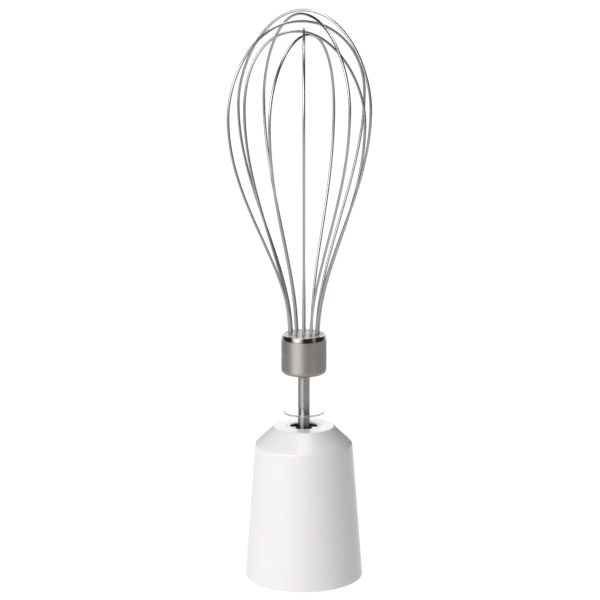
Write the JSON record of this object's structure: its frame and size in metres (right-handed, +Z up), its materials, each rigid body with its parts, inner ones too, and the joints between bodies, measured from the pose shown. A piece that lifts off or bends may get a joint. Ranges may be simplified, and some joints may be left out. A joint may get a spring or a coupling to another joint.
{
  "type": "hand blender whisk attachment",
  "caption": "Whisk attachment of a hand blender: tapered white coupling housing with a planetary reduction and a lift-out steel balloon whisk.",
  "frame": {"origin": "centre of the motor mouth, in the plane of its rim, which is the face the part stands on", "axes": "+Z up along the drive axis, from the mouth towards the balloon; -Y is the front, the side one of the three gaps of the output socket faces"},
  "size_m": [0.0594, 0.0629, 0.2425],
  "materials": {
    "white_plastic": "moulded, satin gloss",
    "collar_plastic": "moulded, fine matt",
    "plug_plastic": "moulded, gloss",
    "dark_plastic": "moulded, fine matt",
    "acetal": "moulded, slightly waxy",
    "bronze": "sintered",
    "bright_steel": "bright drawn",
    "sintered_steel": "sintered, grey",
    "spring_steel": "stamped",
    "brushed_steel": "fine brushed",
    "ferrule_steel": "brushed round the axis, polished rim",
    "wire_steel": "bright drawn wire",
    "rubber": "matt",
    "clear_plastic": "clear, polished"
  },
  "bodies": {
    "housing": {"housing_shell": "white_plastic", "mouth_collar": "collar_plastic", "gear_case": "dark_plastic", "case_plate": "dark_plastic", "ring_gear": "acetal", "input_bush": "bronze", "output_bush": "bronze", "hub_seal": "rubber", "case_screws": "bright_steel"},
    "input": {"drive_coupling": "dark_plastic", "input_spindle": "bright_steel", "sun_gear": "sintered_steel", "input_clip": "spring_steel"},
    "carrier": {"planet_carrier": "dark_plastic", "planet_pins": "bright_steel", "pin_clips": "spring_steel", "hub_cap": "white_plastic", "grip_ring": "rubber"},
    "planet_1": {"planet_gear_1": "acetal"},
    "planet_2": {"planet_gear_2": "acetal"},
    "planet_3": {"planet_gear_3": "acetal"},
    "whisk": {"whisk_shaft": "brushed_steel", "drive_key": "sintered_steel", "drip_disc": "clear_plastic", "ferrule": "ferrule_steel", "wire_plug": "plug_plastic", "wire_loop_1": "wire_steel", "wire_loop_2": "wire_steel", "wire_loop_3": "wire_steel", "wire_loop_4": "wire_steel", "wire_loop_5": "wire_steel", "wire_loop_6": "wire_steel"}
  },
  "joints": [
    {"name": "output_spin", "type": "hinge", "parent": "housing", "child": "carrier", "pos_m": [0, 0, 0.056], "axis": [0, 0, 1], "continuous": true},
    {"name": "input_spin", "type": "hinge", "parent": "housing", "child": "input", "pos_m": [0, 0, 0.03], "axis": [0, 0, 1], "continuous": true},
    {"name": "planet_1_spin", "type": "hinge", "parent": "carrier", "child": "planet_1", "pos_m": [0.00825, 0, 0.0407], "axis": [0, 0, 1], "continuous": true},
    {"name": "planet_2_spin", "type": "hinge", "parent": "carrier", "child": "planet_2", "pos_m": [-0.00413, 0.00714, 0.0407], "axis": [0, 0, 1], "continuous": true},
    {"name": "planet_3_spin", "type": "hinge", "parent": "carrier", "child": "planet_3", "pos_m": [-0.00413, -0.00714, 0.0407], "axis": [0, 0, 1], "continuous": true},
    {"name": "whisk_lift", "type": "slide", "parent": "carrier", "child": "whisk", "axis": [0, 0, 1], "range_m": [0, 0.03]}
  ],
  "couplings": [
    {"joint": "input_spin", "follows": "output_spin", "ratio": 6.6667},
    {"joint": "planet_1_spin", "follows": "output_spin", "ratio": -2.4286},
    {"joint": "planet_2_spin", "follows": "output_spin", "ratio": -2.4286},
    {"joint": "planet_3_spin", "follows": "output_spin", "ratio": -2.4286}
  ]
}
